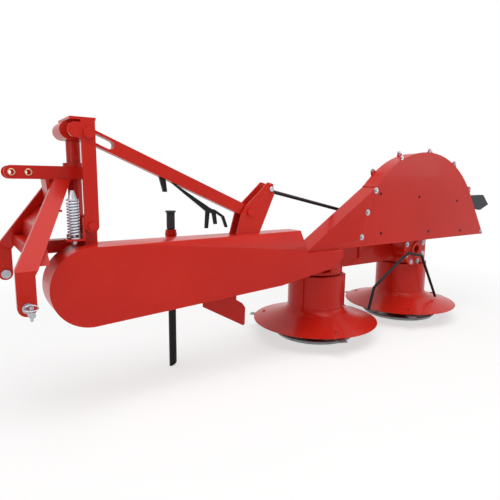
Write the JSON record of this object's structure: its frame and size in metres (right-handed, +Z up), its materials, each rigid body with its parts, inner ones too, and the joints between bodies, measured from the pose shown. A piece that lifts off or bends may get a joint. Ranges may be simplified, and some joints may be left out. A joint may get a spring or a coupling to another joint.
{
  "type": "drum mower",
  "caption": "Trailing drum mower on a three-point hitch: long belt arm, domed drums with dishes, half-round hood, slotted lift strut and parking leg.",
  "frame": {"origin": "centre of the mower's outline in plan, on the ground", "axes": "+X along the arm from the hitch to the drums, +Y to the drums' cutting side, +Z up"},
  "size_m": [3.256, 0.883, 1.19],
  "materials": {
    "red_paint": "gloss paint",
    "black_paint": "satin black paint",
    "bright_steel": "plated steel",
    "spring_steel": "plated spring wire",
    "knife_steel": "hardened steel",
    "grip_rubber": "moulded rubber"
  },
  "bodies": {
    "headstock": {"upper_sleeve": "red_paint", "lower_yoke": "red_paint", "top_link_bar_l": "red_paint", "top_link_bar_r": "red_paint", "bar_brace": "red_paint", "front_plate": "red_paint", "leg_l": "red_paint", "leg_r": "red_paint", "hitch_pin_l": "bright_steel", "hitch_pin_r": "bright_steel"},
    "swing_frame": {"swing_post": "red_paint", "mast_head": "red_paint", "hanger_bar": "red_paint", "lift_pin": "red_paint", "lift_pin_head": "red_paint", "pivot_bolt": "red_paint", "spring_seat": "red_paint", "spring_rod": "bright_steel", "relief_spring": "spring_steel"},
    "mower_arm": {"belt_guard": "red_paint", "guard_back": "red_paint", "carrier_beam": "red_paint", "pivot_bracket": "red_paint", "input_bearing": "red_paint", "strut_bracket": "red_paint", "strut_pin": "red_paint", "stand_sleeve": "red_paint", "deflector": "red_paint", "inner_housing": "red_paint", "outer_housing": "red_paint", "drum_beam": "red_paint", "bearing_cover": "red_paint", "hood_panel": "red_paint", "hood_rim": "red_paint", "hood_wing": "red_paint", "hood_posts": "red_paint", "tie_rod": "black_paint", "guard_bar": "black_paint", "end_flap": "grip_rubber"},
    "drive_input": {"drive_stub": "bright_steel"},
    "lift_link": {"lift_strut": "red_paint", "strut_rail_top": "red_paint", "strut_rail_low": "red_paint", "strut_tip": "red_paint", "knife_lever": "black_paint"},
    "parking_stand": {"stand_leg": "black_paint", "stand_grip": "grip_rubber"},
    "inner_drum": {"drum_inner": "red_paint", "knives_inner": "knife_steel"},
    "outer_drum": {"drum_outer": "red_paint", "knives_outer": "knife_steel"},
    "inner_skid": {"skid_inner": "knife_steel"},
    "outer_skid": {"skid_outer": "knife_steel"}
  },
  "joints": [
    {"name": "swing", "type": "hinge", "parent": "headstock", "child": "swing_frame", "pos_m": [-1.347, 0, 0.8], "axis": [0, 0, 1], "range_deg": [0, 90]},
    {"name": "float", "type": "hinge", "parent": "swing_frame", "child": "mower_arm", "pos_m": [-1.327, 0, 0.772], "axis": [0, -1, 0], "range_deg": [0, 15]},
    {"name": "strut_pivot", "type": "hinge", "parent": "mower_arm", "child": "lift_link", "pos_m": [-0.569, 0, 0.804], "axis": [0, -1, 0], "range_deg": [-2.3, 0.2]},
    {"name": "drive_spin", "type": "hinge", "parent": "mower_arm", "child": "drive_input", "pos_m": [-1.347, 0, 0.535], "axis": [0, 1, 0], "continuous": true},
    {"name": "inner_drum_spin", "type": "hinge", "parent": "mower_arm", "child": "inner_drum", "pos_m": [0.067, 0.031, 0.2], "axis": [0, 0, 1], "continuous": true},
    {"name": "outer_drum_spin", "type": "hinge", "parent": "mower_arm", "child": "outer_drum", "pos_m": [0.899, 0.031, 0.2], "axis": [0, 0, 1], "continuous": true},
    {"name": "inner_skid_turn", "type": "hinge", "parent": "mower_arm", "child": "inner_skid", "pos_m": [0.067, 0.031, 0.03], "axis": [0, 0, 1], "continuous": true},
    {"name": "outer_skid_turn", "type": "hinge", "parent": "mower_arm", "child": "outer_skid", "pos_m": [0.899, 0.031, 0.03], "axis": [0, 0, 1], "continuous": true},
    {"name": "stand_slide", "type": "slide", "parent": "mower_arm", "child": "parking_stand", "axis": [0, 0, 1], "range_m": [0, 0.25]}
  ],
  "couplings": [
    {"joint": "outer_drum_spin", "follows": "inner_drum_spin", "ratio": -1},
    {"joint": "drive_spin", "follows": "inner_drum_spin", "ratio": 0.3},
    {"joint": "strut_pivot", "follows": "float", "ratio": -0.14}
  ]
}
